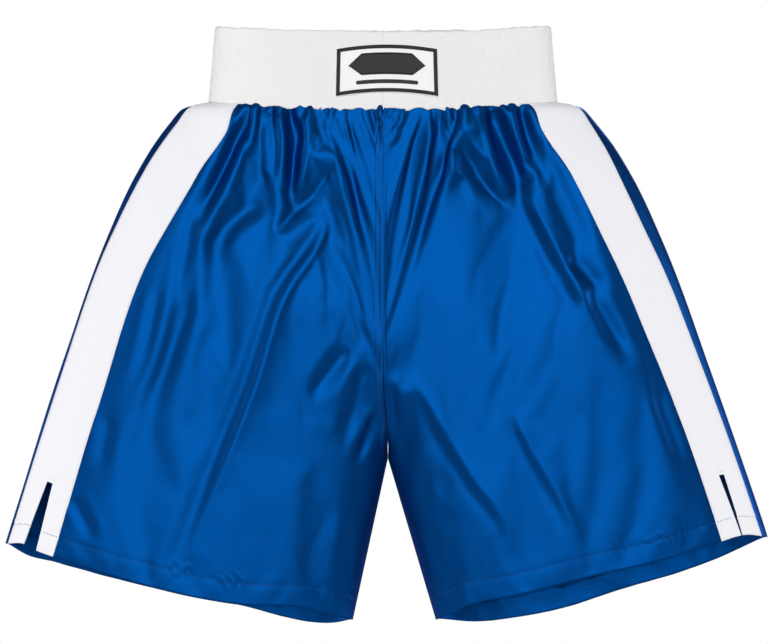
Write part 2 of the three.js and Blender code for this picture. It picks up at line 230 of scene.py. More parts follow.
@dataclass(frozen=True)
class BodyShape:
    """The smooth surface under the folds. Millimetres.

    share runs down from the waist seam (0) to the hem (1). angle runs round one half, from the centre front or
    inseam (0), past the side edge (90 degrees), to the centre back (180 degrees).
    """

    front_dip: float = 7.5
    seam_z: float = -71.0
    hem_z: float = -551.0
    crotch_x: float = 4.5
    crotch_share: float = 0.688
    waist_depth: float = 44.0
    hip_depth: float = 50.0
    hem_depth: float = 46.0
    side_x: tuple[float, ...] = (163, 184, 198, 213, 231, 258.5, 301.5, 354)
    side_z: tuple[float, ...] = (-71, -75, -90, -109, -138.5, -198, -317, -480)

    def inner(self, half: Half, share: Array) -> tuple[Array, Array]:
        """A row's inner end (x, z): on the centre seam above the crotch and on the inseam below it."""
        z = lerp(self.seam_z, self.hem_z, share)
        drift = smooth((share / self.crotch_share - 0.75) * 4)
        down = np.clip((share - self.crotch_share) / (1 - self.crotch_share), 0, 1)
        inseam = lerp(self.crotch_x, half.sign * half.hem_inner, down)
        return np.where(down > 0, inseam, self.crotch_x * drift), z

    def outer(self, half: Half, share: Array) -> tuple[Array, Array]:
        """A row's outer end (x, z), on the side edge, by its length."""
        p = polyline(list(zip(self.side_x, self.side_z)), 400)
        run = np.r_[0.0, np.cumsum(np.hypot(*np.diff(p, axis=0).T))]
        at = np.clip(share, 0, 1) * run[-1]
        x, z = np.interp(at, run, p[:, 0]), np.interp(at, run, p[:, 1])
        return half.sign * x * (1 + half.flare * share), z + half.hem_rise * smooth((share - 0.6) / 0.4)

    def dip(self, angle: Array) -> Array:
        """How much lower the waist lies at an angle: the front dip times the cosine to the power 1.5."""
        return self.front_dip * np.maximum(0, np.cos(angle)) ** 1.5

    def half_depth(self, share: Array) -> Array:
        """Half the distance from front to back, before the edges round off."""
        upper = lerp(self.waist_depth, self.hip_depth, smooth(share / 0.3))
        return np.where(share < 0.3, upper, lerp(self.hip_depth, self.hem_depth, (share - 0.3) / 0.7))

    def point(self, half: Half, angle: Array, share: Array) -> Array:
        """The surface, as (..., 3).

        Across a row the place is the sine of the angle; the depth is its cosine times the root of 1 + sine
        squared, which squares the oval up, and closes to nothing at the inner end as the row nears the crotch.
        """
        angle, share = np.broadcast_arrays(np.asarray(angle, float), np.asarray(share, float))
        across, facing = np.sin(angle), np.cos(angle)
        (ax, az), (bx, bz) = self.inner(half, share), self.outer(half, share)
        closing = smooth((share - 0.4) / (self.crotch_share - 0.4)) ** 2
        rounding = np.sqrt(np.maximum(0, 1 - closing * (1 - across) ** 6))
        depth = self.half_depth(share) * np.abs(facing) * np.sqrt(1 + across**2) * rounding
        back = facing < 0
        hems = [through(*zip(*stations), across) for stations in (half.back_hem, half.front_hem)]
        drop = np.where(back, *hems)
        below = smooth((share - self.crotch_share) / (1 - self.crotch_share))
        z = lerp(az, bz, across) - drop * below - self.dip(angle) * (1 - smooth(share / 0.3))
        return np.stack([lerp(ax, bx, across), np.where(back, 1, -1) * depth, z], axis=-1)

    def normal(self, half: Half, angle: Array, share: Array) -> Array:
        """The outward normal, by differences."""
        step = 1e-3
        angle = np.clip(angle, step, math.pi - step)
        share = np.clip(share, step, 1 - step)
        round_it = self.point(half, angle + step, share) - self.point(half, angle - step, share)
        down = self.point(half, angle, share + step) - self.point(half, angle, share - step)
        n = np.cross(down, round_it) * half.sign
        return n / np.linalg.norm(n, axis=-1, keepdims=True)

    def stripe_angle(self, half: Half, edge: int, share: Array, shift: float = 0.0) -> Array:
        """The angle of a stripe's edge (1 inner, 2 outer), moved along the row by some millimetres."""
        rows = np.array(half.stripe)
        across = through(rows[:, 0], rows[:, edge], share) + shift / self.row_width(half, share)
        return np.arcsin(np.minimum(0.9995, across))

    def stripe_middle(self, half: Half, share: Array) -> Array:
        """The angle of the stripe's middle line."""
        inner, outer = self.stripe_angle(half, 1, share), self.stripe_angle(half, 2, share)
        return np.arcsin((np.sin(inner) + np.sin(outer)) / 2)

    def row_width(self, half: Half, share: Array) -> Array:
        """The distance from a row's inner end to its outer end, across."""
        return np.abs(self.outer(half, share)[0] - self.inner(half, share)[0])

    def below_seam(self, share: Array) -> Array:
        """The height from the waist seam down to a share of the body."""
        return share * (self.seam_z - self.hem_z)

    def height_over_hem(self, share: Array) -> Array:
        """The height from the hem up to a share of the body."""
        return (1 - share) * (self.seam_z - self.hem_z)

    def above_hem(self, distance: float) -> float:
        """The share of the body at a distance above the hem."""
        return 1 - distance / (self.seam_z - self.hem_z)


# ---------------------------------------------------------------------------------------------------------
# The folds
# ---------------------------------------------------------------------------------------------------------
CREASE = FoldKind.CREASE
FRONT_FOLDS = (
    Fold(((-122, -78), (-144, -127), (-160, -158), (-177, -187)), 6, 6),
    Fold(((-100, -74), (-118, -100), (-133, -116)), 5, 8),
    Fold(((-88, -74), (-80, -97), (-81, -127), (-87, -173)), 7, 6),
    Fold(((-72, -76), (-75, -126)), 3, 4),
    Fold(((-33, -78), (-37, -115), (-58, -150), (-94, -184), (-127, -201)), 6, 8),
    Fold(((-24, -80), (-23, -144), (-17, -222)), 6, 8),
    Fold(((-11, -76), (-9, -130)), 3, 4),
    Fold(((-43, -167), (-56, -201), (-87, -250), (-116, -335), (-150, -420), (-180, -497), (-188, -524)),
         6, 7, CREASE),
    Fold(((-104, -160), (-147, -191), (-164, -237)), 5, 10),
    Fold(((-104, -138), (-137, -167)), 3, 9),
    Fold(((-172, -245), (-199, -314), (-231, -377)), 3, 9),
    Fold(((-205, -240), (-229, -332), (-245, -353)), 1.8, 6),
    Fold(((-250, -360), (-262, -416)), 1.4, 7),
    Fold(((-286, -436), (-259, -481)), 1.6, 6),
    Fold(((-30, -298), (-74, -351)), 3, 8),
    Fold(((-13, -310), (-39, -393)), 3, 8),
    Fold(((-5, -356), (-28, -411)), 2.5, 5),
    Fold(((-46, -436), (-69, -497), (-74, -531)), 1.5, 12),
    Fold(((10, -82), (17, -104), (6, -121)), 2, 3),
    Fold(((33, -78), (26, -115), (24, -172), (24, -251)), 6, 8),
    Fold(((46, -76), (51, -101), (50, -170)), 7, 7),
    Fold(((58, -76), (66, -107), (83, -133), (97, -153), (118, -175), (132, -193)), 6, 7),
    Fold(((94, -75), (111, -113), (139, -164)), 7, 9),
    Fold(((128, -145), (154, -195), (175, -235), (201, -282), (214, -305)), 6, 8, CREASE),
    Fold(((125, -76), (130, -98), (139, -123), (139, -140)), 5, 6),
    Fold(((67, -73), (69, -95)), 3, 4),
    Fold(((167, -215), (211, -252)), 3, 8),
    Fold(((186, -246), (229, -313)), 3, 8),
    Fold(((120, -355), (132, -381), (167, -443), (193, -497)), 3, 6, CREASE),
    Fold(((35, -334), (82, -414), (118, -466), (127, -509)), 3.2, 7, CREASE),
    Fold(((248, -338), (281, -417)), 1.5, 6),
    Fold(((7, -332), (12, -386)), 2.5, 5),
    Fold(((19, -353), (23, -419)), 1.5, 8),
)


@dataclass(frozen=True)
class Drape:
    """Everything that lifts the cloth off the smooth surface: folds, gathers, puckers and slow waves.

    The gathers are narrow upright ridges under the waistband that die out a hand's width down. The puckers are
    short ridges above each hem, where the stitches draw the cloth in. under_band is how far the cloth's upper
    edge runs up and in behind the waistband.
    """

    gather_height: float = 2.6
    gather_pitch: float = 13.0
    gather_fade: float = 34.0
    wave_height: float = 0.5
    wave_length: float = 95.0
    pucker_height: float = 0.6
    pucker_pitch: float = 7.0
    hem: float = 19.0
    under_band: float = 3.0

    def gathers(self, x: Array, z: Array, seed: int) -> Array:
        """Wide-topped, sharp-footed ridges, bent by noise, that fade down the cloth."""
        below = np.maximum(0, BODY.seam_z - z)
        fanned = x / (1 + below / 420)
        phase = fanned / self.gather_pitch + 0.9 * value_noise(fanned / 31, below / 70, seed)
        ridge = 0.45 - np.abs(np.sin(np.pi * phase)) ** 0.7
        strength = 0.55 + 0.45 * value_noise(fanned / 17, below / 400, seed + 1)
        rise = smooth(below / 9)
        return -self.gather_height * ridge * strength * rise * np.exp(-below / self.gather_fade)

    def waves(self, x: Array, z: Array, seed: int) -> Array:
        """Two octaves of slow noise, stretched down the cloth."""
        slow = value_noise(x / self.wave_length + 9, z / (1.9 * self.wave_length) + 9, seed)
        quick = value_noise(x / (0.4 * self.wave_length), z / self.wave_length, seed + 2)
        return self.wave_height * (slow + 0.45 * quick)

    def puckers(self, x: Array, above: Array, seed: int) -> Array:
        """Short slanting ridges over the hem's stitch line; above is the height above the hem's edge."""
        phase = (x + 0.5 * above) / self.pucker_pitch + 2.6 * value_noise(x / 16, above / 22, seed)
        place = np.exp(-(((above - 1.05 * self.hem) / 8.5) ** 2))
        patches = smooth(0.45 + 1.1 * value_noise(x / 23, above / 60, seed + 3))
        line = 0.55 * np.exp(-(((above - self.hem) / 1.3) ** 2))
        return self.pucker_height * (np.sin(2 * np.pi * phase) * place * patches - line)

    def height(self, base: Array, above: Array, back: bool) -> Array:
        """The lift of the cloth at points of the smooth surface, in millimetres.

        The back wears the front's folds mirrored, so that it hangs like the front without copying it.
        """
        x, z = base[..., 0], base[..., 2]
        mirrored = -x if back else x
        folds = sum(fold.height(mirrored, z) for fold in FRONT_FOLDS)
        seed = 20 if back else 5
        return folds + self.gathers(x, z, seed) + self.waves(x, z, seed + 4) + self.puckers(x, above, seed + 8)


BODY = BodyShape()
DRAPE = Drape()


def grid_quads(rows: int, columns: int) -> Array:
    """The quads of a grid of points, (rows - 1, columns - 1, 4)."""
    number = np.arange(rows * columns).reshape(rows, columns)
    return np.stack([number[:-1, :-1], number[1:, :-1], number[1:, 1:], number[:-1, 1:]], axis=-1)


def wrapped_quads(rows: int, columns: int) -> Array:
    """The quads of a grid whose last row and column join its first, (rows * columns, 4)."""
    row, column = np.divmod(grid_quads(rows + 1, columns + 1).reshape(-1, 4), columns + 1)
    return (row % rows) * columns + column % columns


def softened(values: Array) -> Array:
    """A grid of vectors, each inner one averaged with its neighbours: a quarter, a half and a quarter."""
    inner = values.copy()
    inner[1:-1] = 0.25 * values[:-2] + 0.5 * values[1:-1] + 0.25 * values[2:]
    both = inner.copy()
    both[:, 1:-1] = 0.25 * inner[:, :-2] + 0.5 * inner[:, 1:-1] + 0.25 * inner[:, 2:]
    return both


def cubic_read(values: Array, row: Array, column: Array) -> Array:
    """A grid of vectors read between its points by Catmull-Rom cubics, both ways."""

    def weights(t: Array) -> tuple[Array, ...]:
        """The four neighbours' weights at t between the middle two."""
        return (
            ((-0.5 * t + 1.0) * t - 0.5) * t,
            (1.5 * t - 2.5) * t * t + 1.0,
            ((-1.5 * t + 2.0) * t + 0.5) * t,
            (0.5 * t - 0.5) * t * t,
        )

    rows, columns = values.shape[:2]
    i = np.clip(np.floor(row).astype(int), 0, rows - 2)
    j = np.clip(np.floor(column).astype(int), 0, columns - 2)
    total = np.zeros((*row.shape, values.shape[-1]))
    for a, down in enumerate(weights(row - i)):
        for b, across in enumerate(weights(column - j)):
            near = values[np.clip(i + a - 1, 0, rows - 1), np.clip(j + b - 1, 0, columns - 1)]
            total += near * (down * across)[..., None]
    return total


@dataclass
class Settling:
    """The cloth's own folding, found by simulation.

    Each half is one grid of cloth, cut wider than it lies, most of all at the waist where it is gathered. It is
    drawn in to the laid drape, so it buckles between its seams. steady is the share of the columns before
    the one that keeps its place when the rest is cut wider. Millimetres.
    """

    rows: int = 132
    columns: int = 208
    steady: float = 0.43
    crowding: float = 0.55
    frames: int = 22
    drawn_in: int = 9
    quality: int = 5
    mass: float = 0.1
    air: float = 1.0
    stiffness: float = 15.0
    shear: float = 5.0
    bending: float = 0.05
    damping: float = 0.01
    fullness: float = 0.15
    fullness_fade: float = 70.0
    centre_fullness: float = 0.35
    slack: float = 0.008
    moves: dict[str, Array] = field(default_factory=dict)

    def angles(self) -> Array:
        """The columns' angles, closer together at the centre seams than at the side edge."""
        t = np.linspace(0, 1, self.columns)
        return math.pi * (t - self.crowding * np.sin(2 * math.pi * t) / (2 * math.pi))

    def shares(self) -> Array:
        """The rows' shares, closer together near the waist."""
        return np.linspace(0, 1, self.rows) ** 1.15

    def held(self, half: Half, angle: Array, share: Array) -> Array:
        """How firmly each point is held: fully at the waist and the seams, partly at the stripe and hem."""
        seams = (angle < 1e-6) | (angle > math.pi - 1e-6) | (share < 1e-6)
        inner, outer = BODY.stripe_angle(half, 1, share), BODY.stripe_angle(half, 2, share)
        stripe = smooth((angle - inner + 0.02) / 0.03) * smooth((outer + 0.02 - angle) / 0.03)
        hem = smooth((share - 0.985) / 0.015)
        crotch = np.exp(-(((share - BODY.crotch_share) / 0.03) ** 2)) * np.cos(angle) ** 8
        loose = np.maximum.reduce([0.4 * stripe, 0.3 * hem, 0.6 * crotch, np.full(angle.shape, 0.012)])
        return np.where(seams, 1.0, loose)

    def cut(self, half: Half, angle: Array, share: Array, laid: Array) -> Array:
        """The cloth as cut: wider than it lies, less so at the centre seams and not at all on the stripe."""
        inner, outer = BODY.stripe_angle(half, 1, share), BODY.stripe_angle(half, 2, share)
        plain = 1 - smooth((angle - inner + 0.05) / 0.05) * smooth((outer + 0.05 - angle) / 0.05)
        plain *= lerp(self.centre_fullness, 1.0, smooth(np.minimum(angle, math.pi - angle) / 0.6))
        fullness = self.fullness * np.exp(-BODY.below_seam(share) / self.fullness_fade)
        wider = 1 + (fullness + self.slack) * plain
        step = np.diff(laid, axis=1) * ((wider[:, 1:] + wider[:, :-1]) / 2)[..., None]
        run = np.concatenate([np.zeros_like(laid[:, :1]), np.cumsum(step, axis=1)], axis=1)
        steady = int(self.columns * self.steady)
        return laid[:, steady : steady + 1] + run - run[:, steady : steady + 1]

    def settle(self, half: Half) -> None:
        """Runs one half and keeps how far each of its points moved, in metres."""
        angle, share = np.meshgrid(self.angles(), self.shares())
        start, _ = drape_grid(half, angle, share)
        cut = self.cut(half, angle, share, start)
        cloth = mesh_object("settling", cut.reshape(-1, 3), grid_quads(*angle.shape).reshape(-1, 4))
        cloth.shape_key_add(name="cut")
        key = cloth.shape_key_add(name="laid")
        key.data.foreach_set("co", start.astype(np.float32).ravel())
        group_held = cloth.vertex_groups.new(name="held")
        firm = np.round(self.held(half, angle, share), 3).ravel()
        for level in np.unique(firm):
            group_held.add(np.flatnonzero(firm == level).tolist(), float(level), "REPLACE")
        self.simulate(cloth, key)
        seen = cloth.evaluated_get(bpy.context.evaluated_depsgraph_get())
        settled = np.empty(start.size, np.float32)
        seen.data.vertices.foreach_get("co", settled)
        moved = settled.reshape(start.shape).astype(float) - start
        self.moves[half.name] = softened(moved)
        bpy.data.objects.remove(cloth, do_unlink=True)
        bpy.context.scene.frame_set(1)

    def simulate(self, cloth: bpy.types.Object, key: bpy.types.ShapeKey) -> None:
        """Draws the cut cloth in to where it lies, with no weight, and steps it to its last frame."""
        key.value = 0.0
        key.keyframe_insert("value", frame=1)
        key.value = 1.0
        key.keyframe_insert("value", frame=self.drawn_in)
        modifier = cloth.modifiers.new("Cloth", "CLOTH")
        settings = modifier.settings
        settings.quality = self.quality
        settings.mass = self.mass
        settings.air_damping = self.air
        settings.tension_stiffness = settings.compression_stiffness = self.stiffness
        settings.shear_stiffness = self.shear
        settings.bending_stiffness = self.bending
        settings.tension_damping = settings.compression_damping = settings.shear_damping = self.damping
        settings.vertex_group_mass = "held"
        settings.pin_stiffness = 1.0
        settings.effector_weights.gravity = 0.0
        modifier.point_cache.frame_start, modifier.point_cache.frame_end = 1, self.frames
        for number in range(1, self.frames + 1):
            bpy.context.scene.frame_set(number)

    def move(self, half: Half, angle: Array, share: Array) -> Array:
        """How far the settled cloth lies from the drape at each place, in metres."""
        if half.name not in self.moves:
            return np.zeros((*angle.shape, 3))
        column = np.interp(angle, self.angles(), np.arange(self.columns))
        row = np.interp(share, self.shares(), np.arange(self.rows))
        return cubic_read(self.moves[half.name], row, column)


SETTLING = Settling()


def seam_ridge(half: Half, angle: Array, share: Array) -> Array:
    """The lift of the centre seams: both allowances pressed to the wearer's right, a groove on the seam."""
    aside = np.sin(angle) * BODY.row_width(half, share)
    above_crotch = 1 - smooth((share - BODY.crotch_share + 0.03) / 0.03)
    ridge = 0.85 * (1 - smooth((aside - 5.6) / 1.2)) if half.sign < 0 else 0.0
    dimples = 0.3 * np.exp(-(((aside - 5.0) / 0.7) ** 2)) if half.sign < 0 else 0.0
    return (ridge - dimples - 1.1 * np.exp(-((aside / 0.9) ** 2))) * above_crotch


def drape_grid(half: Half, angle: Array, share: Array, lift: float = 0.0) -> tuple[Array, Array]:
    """Points of the draped cloth and their normals, in metres.

    Args:
        half: which half of the body.
        angle: the angle of each grid point.
        share: the share down the body of each grid point.
        lift: how far the layer lies off the drape, in millimetres.

    Returns:
        The points and unit normals, each (rows, columns, 3).
    """
    base = BODY.point(half, angle, share)
    out = BODY.normal(half, angle, share)
    above = BODY.height_over_hem(share)
    front, back = DRAPE.height(base, above, False), DRAPE.height(base, above, True)
    facing = smooth((np.abs(out[..., 1]) - 0.12) / 0.6)
    height = np.where(np.cos(angle) < 0, back, front) * facing + seam_ridge(half, angle, share)
    under_band = DRAPE.under_band * np.exp(-BODY.below_seam(share) / 4.0)
    base[..., 2] += under_band
    points = base + out * (height - under_band)[..., None] + SETTLING.move(half, angle, share) / MM
    du = np.gradient(points, axis=1)
    dv = np.gradient(points, axis=0)
    normals = np.cross(du, dv)
    normals *= np.sign((normals * out).sum(-1, keepdims=True))
    length = np.linalg.norm(normals, axis=-1, keepdims=True)
    normals = np.where(length > 1e-9, normals / np.maximum(length, 1e-9), out)
    return (points + normals * lift) * MM, normals


# ---------------------------------------------------------------------------------------------------------
# Meshes
# ---------------------------------------------------------------------------------------------------------
def mesh_object(name: str, points: Array, quads: Array, uv: Optional[Array] = None) -> bpy.types.Object:
    """A smooth-shaded object from points, quads and flat coordinates per point.

    Args:
        name: the piece's name.
        points: (n, 3) in metres.
        quads: (m, 4) point numbers, anticlockwise from outside.
        uv: (n, 2) flat coordinates in metres, or None.

    Returns:
        The linked object, at the origin.
    """
    mesh = bpy.data.meshes.new(name)
    mesh.vertices.add(len(points))
    mesh.vertices.foreach_set("co", np.ascontiguousarray(points, np.float32).ravel())
    mesh.loops.add(quads.size)
    mesh.loops.foreach_set("vertex_index", quads.ravel().astype(np.int32))
    mesh.polygons.add(len(quads))
    mesh.polygons.foreach_set("loop_start", np.arange(0, quads.size, 4, dtype=np.int32))
    mesh.polygons.foreach_set("use_smooth", np.ones(len(quads), bool))
    if uv is not None:
        layer = mesh.uv_layers.new(name="cloth")
        layer.data.foreach_set("uv", uv[quads.ravel()].astype(np.float32).ravel())
    mesh.update()
    mesh.validate()
    made = bpy.data.objects.new(name, mesh)
    bpy.context.scene.collection.objects.link(made)
    return made


def closed_sheet(
    name: str, outer: Array, inner: Array, flat: Array, holes: Optional[Array] = None
) -> bpy.types.Object:
    """A thin closed sheet between two grids of points, with walls round its edges and any missing faces.

    Args:
        name: the piece's name.
        outer: (rows, columns, 3), the face side.
        inner: the same for the reverse.
        flat: (rows, columns, 2) flat coordinates.
        holes: (rows - 1, columns - 1), true where the cloth is cut away.

    Returns:
        The piece.
    """
    rows, columns = outer.shape[:2]
    quads = grid_quads(rows, columns)
    kept = np.ones(quads.shape[:2], bool) if holes is None else ~holes
    quads = quads[kept]
    edges = np.concatenate([quads[:, [k, (k + 1) % 4]] for k in range(4)])
    count = rows * columns
    key = edges[:, 0] * count + edges[:, 1]
    back_key = edges[:, 1] * count + edges[:, 0]
    border = edges[~np.isin(key, back_key)]
    walls = np.stack([border[:, 1], border[:, 0], border[:, 0] + count, border[:, 1] + count], axis=-1)
    faces = np.concatenate([quads, quads[:, ::-1] + count, walls])
    points = np.concatenate([outer.reshape(-1, 3), inner.reshape(-1, 3)])
    faces = turned_out(points, faces)
    uv = np.concatenate([flat.reshape(-1, 2)] * 2)
    used = np.unique(faces)
    renumber = np.full(2 * count, -1)
    renumber[used] = np.arange(len(used))
    return mesh_object(name, points[used], renumber[faces], uv[used])


def flat_lengths(points: Array) -> Array:
    """Flat coordinates of a grid, in metres: its lengths both ways, so the weave keeps its size."""
    across = np.linalg.norm(np.diff(points, axis=1), axis=-1)
    down = np.linalg.norm(np.diff(points, axis=0), axis=-1)
    u = np.concatenate([np.zeros((len(points), 1)), np.cumsum(across, axis=1)], axis=1)
    v = np.concatenate([np.zeros((1, points.shape[1])), np.cumsum(down, axis=0)], axis=0)
    return np.stack([u, v], axis=-1)


def turned_out(points: Array, faces: Array) -> Array:
    """Faces with their order turned round if the closed mesh they make has a negative volume."""
    a, b, c, d = (points[faces[:, k]] for k in range(4))
    volume = (a * np.cross(b, c)).sum() + (a * np.cross(c, d)).sum()
    return faces if volume > 0 else faces[:, ::-1]


# ---------------------------------------------------------------------------------------------------------
# Finishes
# ---------------------------------------------------------------------------------------------------------
class Tree:
    """A node tree with short ways to add and join nodes."""

    def __init__(self, tree: bpy.types.NodeTree) -> None:
        """Takes the tree to build in."""
        self.tree = tree

    def add(self, kind: str, inputs: Optional[dict] = None, **settings: object) -> bpy.types.Node:
        """Adds a node.

        Args:
            kind: the node's type.
            inputs: values or output sockets for its inputs, by name or number.
            settings: its own properties.

        Returns:
            The node.
        """
        node = self.tree.nodes.new(kind)
        for key, value in settings.items():
            setattr(node, key, value)
        for key, value in (inputs or {}).items():
            if isinstance(value, bpy.types.NodeSocket):
                self.tree.links.new(value, node.inputs[key])
            else:
                node.inputs[key].default_value = value
        return node

    def math(self, operation: str, a: object, b: object = 0.5) -> bpy.types.NodeSocket:
        """One arithmetic step, as its output socket."""
        return self.add("ShaderNodeMath", {0: a, 1: b}, operation=operation).outputs[0]

    def weighted(self, a: object, a_share: float, b: object, b_share: float) -> bpy.types.NodeSocket:
        """The sum of two values, each times its share."""
        return self.math("ADD", self.math("MULTIPLY", a, a_share), self.math("MULTIPLY", b, b_share))

    def noise(self, place: bpy.types.NodeSocket, **settings: float) -> bpy.types.NodeSocket:
        """A noise texture's value at a place."""
        return self.add("ShaderNodeTexNoise", {"Vector": place, **settings}).outputs[0]

    def bump(self, **inputs: object) -> bpy.types.NodeSocket:
        """A relief from a height, as a normal."""
        return self.add("ShaderNodeBump", inputs).outputs[0]


def group(name: str, inputs: Sequence[tuple[str, str, object]], outputs: Sequence[str],
          fill: Callable[[Tree, bpy.types.Node], dict]) -> bpy.types.NodeTree:
    """A shader node group, built once.

    Args:
        name: the group's name.
        inputs: (name, socket type, default) of each input.
        outputs: the names of its outputs, all plain values.
        fill: builds the inside from the tree and the input node, and gives the socket for each output.

    Returns:
        The group's tree.
    """
    if name in bpy.data.node_groups:
        return bpy.data.node_groups[name]
    made = bpy.data.node_groups.new(name, "ShaderNodeTree")
    for label, kind, default in inputs:
        socket = made.interface.new_socket(label, in_out="INPUT", socket_type=kind)
        if default is not None:
            socket.default_value = default
    for label in outputs:
        made.interface.new_socket(label, in_out="OUTPUT", socket_type="NodeSocketFloat")
    tree = Tree(made)
    entry = tree.add("NodeGroupInput")
    leave = tree.add("NodeGroupOutput")
    for label, socket in fill(tree, entry).items():
        made.links.new(socket, leave.inputs[label])
    return made


def woven(tree: Tree, entry: bpy.types.Node) -> dict:
    """Threads over and under each other, satin floats, slubs, and slow unevenness of dye and wear."""
    place = entry.outputs["Cloth"]
    count = entry.outputs["Threads"]
    scaled = tree.add("ShaderNodeVectorMath", {0: place, "Scale": count}, operation="SCALE")
    axes = tree.add("ShaderNodeSeparateXYZ", {0: scaled.outputs[0]})
    turn = 2 * math.pi
    warp = tree.math("SINE", tree.math("MULTIPLY", axes.outputs[0], turn))
    weft = tree.math("SINE", tree.math("MULTIPLY", axes.outputs[1], turn * 0.5))
    threads = tree.math("MULTIPLY", warp, tree.math("ADD", tree.math("MULTIPLY", weft, 0.35), 0.65))
    stretched = tree.add("ShaderNodeMapping", {"Vector": place, "Scale": (900.0, 60.0, 1.0)}).outputs[0]
    slub = tree.noise(stretched, Scale=1.0, Detail=3.0)
    slow = tree.noise(place, Scale=14.0, Detail=4.0, Roughness=0.6)
    crease = tree.noise(place, Scale=85.0, Detail=3.0, Distortion=0.6)
    height = tree.weighted(threads, 0.35, slub, 0.65)
    return {"Threads height": height, "Slub": slub, "Slow": slow, "Crease": crease}


def woven_group() -> bpy.types.NodeTree:
    """The weave group that every cloth uses."""
    return group(
        "woven_cloth",
        (("Cloth", "NodeSocketVector", None), ("Threads", "NodeSocketFloat", 2400.0)),
        ("Threads height", "Slub", "Slow", "Crease"),
        woven,
    )


@dataclass(frozen=True)
class ClothFinish:
    """A dyed cloth: its colour, its shine, its threads a metre, and the relief of its threads and creases."""

    name: str
    colour: tuple[float, float, float]
    roughness: float
    sheen: float
    specular: float = 0.5
    metal: float = 0.0
    threads: float = 2400.0
    thread_relief: float = 0.00006
    crease_relief: float = 0.0002
    uneven: float = 0.10
    glint: tuple[float, float, float] = (1.0, 1.0, 1.0)

    def material(self) -> bpy.types.Material:
        """The material, built once."""
        if self.name in bpy.data.materials:
            return bpy.data.materials[self.name]
        made = bpy.data.materials.new(self.name)
        made.use_nodes = True
        made.node_tree.nodes.clear()
        tree = Tree(made.node_tree)
        place = tree.add("ShaderNodeUVMap", uv_map="cloth").outputs[0]
        weave = tree.add("ShaderNodeGroup", node_tree=woven_group())
        made.node_tree.links.new(place, weave.inputs["Cloth"])
        weave.inputs["Threads"].default_value = self.threads
        dark = (*(c * (1 - self.uneven) for c in self.colour), 1)
        light = (*(min(1, c * (1 + self.uneven)) for c in self.colour), 1)
        tone = tree.weighted(weave.outputs["Slow"], 0.6, weave.outputs["Slub"], 0.4)
        colour = tree.add("ShaderNodeMix", {0: tone, 6: dark, 7: light}, data_type="RGBA").outputs[2]
        least, most = self.roughness - 0.07, self.roughness + 0.07
        rough = tree.add("ShaderNodeMapRange", {0: tone, 3: least, 4: most}).outputs[0]
        threads = tree.bump(Height=weave.outputs["Threads height"], Strength=0.5, Distance=self.thread_relief)
        creases = tree.bump(
            Height=weave.outputs["Crease"], Strength=0.6, Distance=self.crease_relief, Normal=threads)
        surface = tree.add("ShaderNodeBsdfPrincipled", {
            "Base Color": colour, "Roughness": rough, "Normal": creases, "Sheen Weight": self.sheen,
            "Sheen Roughness": 0.4, "Specular IOR Level": self.specular, "Metallic": self.metal,
            "Specular Tint": (*self.glint, 1)})
        tree.add("ShaderNodeOutputMaterial", {"Surface": surface.outputs[0]})
        return made


BLUE_SATIN = ClothFinish(
    "royal_blue_satin", (0.0004, 0.052, 0.224), roughness=0.42, sheen=0.0, specular=0.3, metal=0.75,
    glint=(0.0, 0.36, 1.0))
WHITE_SATIN = ClothFinish(
    "white_satin", (0.70, 0.70, 0.725), roughness=0.42, sheen=0.05, specular=0.4, uneven=0.06)
CRINKLED = ClothFinish(
    "crinkled_waistband_cloth", (0.785, 0.785, 0.78), roughness=0.85, sheen=0.2, specular=0.2, threads=1500.0,
    thread_relief=0.0002, crease_relief=0.0009, uneven=0.05)
LABEL_WHITE = ClothFinish(
    "woven_label_white", (0.85, 0.85, 0.85), roughness=0.6, sheen=0.1, specular=0.3, threads=1600.0,
    thread_relief=0.00015, crease_relief=0.0001, uneven=0.02)
LABEL_BLACK = ClothFinish(
    "woven_label_black", (0.012, 0.012, 0.014), roughness=0.55, sheen=0.1, specular=0.3, threads=1300.0,
    thread_relief=0.0002, crease_relief=0.0001, uneven=0.2)
TAPE = ClothFinish(
    "care_label_tape", (0.82, 0.82, 0.82), roughness=0.45, sheen=0.05, specular=0.4, threads=2600.0,
    thread_relief=0.00005, crease_relief=0.0001, uneven=0.02)
BLUE_THREAD = ClothFinish(
    "blue_thread", (0.0008, 0.055, 0.24), roughness=0.6, sheen=0.0, specular=0.0, threads=3500.0,
    thread_relief=0.0001, crease_relief=0.0001, uneven=0.15)
WHITE_THREAD = ClothFinish(
    "white_thread", (0.62, 0.64, 0.72), roughness=0.5, sheen=0.1, specular=0.4, threads=3500.0,
    thread_relief=0.0001, crease_relief=0.0001, uneven=0.1)
ELASTIC = ClothFinish(
    "braided_elastic", (0.70, 0.68, 0.62), roughness=0.8, sheen=0.1, specular=0.2, threads=900.0,
    thread_relief=0.0004, crease_relief=0.0001, uneven=0.08)


def dress(piece: bpy.types.Object, finish: ClothFinish) -> bpy.types.Object:
    """Gives a piece its material."""
    piece.data.materials.append(finish.material())
    return piece


def hang_from_crotch(piece: bpy.types.Object, half: Half) -> None:
    """Reads the leg's swing hinge and the direction square down from it, then bakes the piece's place into its
    mesh; the piece is not bent.
    """
    joint = next(j for j in frame["joints"] if j["name"] == f"{half.name}_leg_swing")
    axis = np.array(joint["axis"])
    down = np.cross(axis, (0.0, 1.0, 0.0))
    down *= -np.sign(down[2])
    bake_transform(piece)


